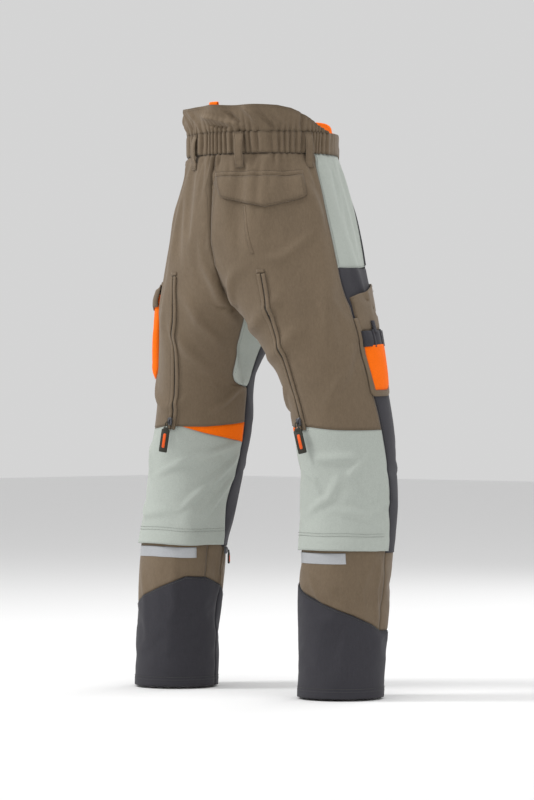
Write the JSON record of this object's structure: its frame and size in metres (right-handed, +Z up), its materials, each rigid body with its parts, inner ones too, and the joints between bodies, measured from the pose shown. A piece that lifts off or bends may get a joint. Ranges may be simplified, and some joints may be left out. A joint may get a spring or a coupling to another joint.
{
  "type": "protective forestry trousers",
  "caption": "Cut-protection work trousers with elasticated back waist, stretch hip, crotch and knee panels, vent zips, thigh pockets, flapped back pocket and cuff guards.",
  "frame": {"origin": "centre of the waist opening, at the height of the waistband's lower edge", "axes": "+Z up the body, -Y the front of the wearer, +X the wearer's left"},
  "size_m": [0.5904, 0.297, 1.096],
  "materials": {
    "twill": "matt brushed twill",
    "stretch_fabric": "smooth four-way stretch weave",
    "charcoal_fabric": "matt tough weave",
    "orange_fabric": "high-visibility plain weave",
    "zip_tape": "woven tape with moulded coil",
    "pull_strap": "satin coated strap",
    "padding": "layered loose fibre",
    "zip_metal": "dark plated"
  },
  "bodies": {
    "root": {"back_panel_left": "twill", "front_panel_left": "charcoal_fabric", "hip_panel_left": "stretch_fabric", "gusset_left": "stretch_fabric", "knee_wedge_left": "orange_fabric", "knee_panel_left": "stretch_fabric", "cut_pad_thigh_left": "padding", "vent_zip_tape_left": "zip_tape", "back_panel_right": "twill", "front_panel_right": "charcoal_fabric", "hip_panel_right": "stretch_fabric", "gusset_right": "stretch_fabric", "knee_wedge_right": "orange_fabric", "knee_panel_right": "stretch_fabric", "cut_pad_thigh_right": "padding", "vent_zip_tape_right": "zip_tape", "fly_zip_tape": "zip_tape", "waistband_back": "twill", "waistband_front_left": "twill", "waistband_front_right": "twill", "waist_elastic": "padding", "kidney_panel": "twill", "waist_facing": "orange_fabric", "belt_loop_back_left": "twill", "belt_loop_back_right": "twill", "belt_loop_side_left": "twill", "belt_loop_side_right": "twill", "belt_loop_front_left": "twill", "belt_loop_front_right": "twill", "hanger_tab": "orange_fabric", "waist_button": "zip_metal", "pocket_front_right": "twill", "pocket_band_right": "charcoal_fabric", "pouch_right": "orange_fabric", "cargo_pouch_left": "orange_fabric", "back_pocket_bag": "charcoal_fabric"},
    "back_pocket_flap": {"back_pocket_flap": "twill"},
    "cargo_flap_left": {"cargo_flap_left": "twill"},
    "fly_slider": {"fly_slider": "zip_metal"},
    "shin_left": {"calf_panel_left": "stretch_fabric", "shin_back_left": "twill", "shin_front_left": "twill", "cuff_guard_left": "charcoal_fabric", "cut_pad_shin_left": "padding", "shin_zip_tape_left": "zip_tape"},
    "shin_pull_left": {"shin_pull_left": "pull_strap"},
    "shin_pull_right": {"shin_pull_right": "pull_strap"},
    "shin_right": {"calf_panel_right": "stretch_fabric", "shin_back_right": "twill", "shin_front_right": "twill", "cuff_guard_right": "charcoal_fabric", "cut_pad_shin_right": "padding", "shin_zip_tape_right": "zip_tape"},
    "shin_slider_left": {"shin_slider_left": "zip_metal"},
    "shin_slider_right": {"shin_slider_right": "zip_metal"},
    "vent_pull_left": {"vent_pull_left": "pull_strap"},
    "vent_pull_right": {"vent_pull_right": "pull_strap"},
    "vent_slider_left": {"vent_slider_left": "zip_metal"},
    "vent_slider_right": {"vent_slider_right": "zip_metal"}
  },
  "joints": [
    {"name": "knee_left", "type": "hinge", "parent": "root", "child": "shin_left", "pos_m": [0.205, -0.01862, -0.57], "axis": [1, 0, 0], "range_deg": [0, 40]},
    {"name": "vent_zip_left", "type": "slide", "parent": "root", "child": "vent_slider_left", "axis": [-0.1833, 0.1731, 0.9677], "range_m": [0, 0.274]},
    {"name": "vent_pull_left", "type": "hinge", "parent": "vent_slider_left", "child": "vent_pull_left", "pos_m": [0.16574, 0.09228, -0.49898], "axis": [1, 0, 0], "range_deg": [0, 150]},
    {"name": "shin_zip_left", "type": "slide", "parent": "shin_left", "child": "shin_slider_left", "axis": [0, 0, -1], "range_m": [0, 0.045]},
    {"name": "shin_pull_left", "type": "hinge", "parent": "shin_slider_left", "child": "shin_pull_left", "pos_m": [0.12224, -0.03435, -0.744], "axis": [-0.3488, 0.9372, 0], "range_deg": [0, 120]},
    {"name": "knee_right", "type": "hinge", "parent": "root", "child": "shin_right", "pos_m": [-0.205, -0.01862, -0.57], "axis": [1, 0, 0], "range_deg": [0, 40]},
    {"name": "vent_zip_right", "type": "slide", "parent": "root", "child": "vent_slider_right", "axis": [0.1833, 0.1731, 0.9677], "range_m": [0, 0.274]},
    {"name": "vent_pull_right", "type": "hinge", "parent": "vent_slider_right", "child": "vent_pull_right", "pos_m": [-0.16574, 0.09228, -0.49898], "axis": [1, 0, 0], "range_deg": [0, 150]},
    {"name": "shin_zip_right", "type": "slide", "parent": "shin_right", "child": "shin_slider_right", "axis": [0, 0, -1], "range_m": [0, 0.045]},
    {"name": "shin_pull_right", "type": "hinge", "parent": "shin_slider_right", "child": "shin_pull_right", "pos_m": [-0.12224, -0.03435, -0.744], "axis": [-0.3488, -0.9372, 0], "range_deg": [0, 120]},
    {"name": "fly_zip", "type": "slide", "parent": "root", "child": "fly_slider", "axis": [0, -0.0285, -0.9996], "range_m": [0, 0.105]},
    {"name": "back_pocket_flap", "type": "hinge", "parent": "root", "child": "back_pocket_flap", "pos_m": [-0.09632, 0.11932, -0.042], "axis": [0.8571, 0.5152, 0], "range_deg": [0, 110]},
    {"name": "cargo_flap", "type": "hinge", "parent": "root", "child": "cargo_flap_left", "pos_m": [0.22123, 0.02378, -0.232], "axis": [0.1744, -0.9847, 0], "range_deg": [0, 110]}
  ]
}
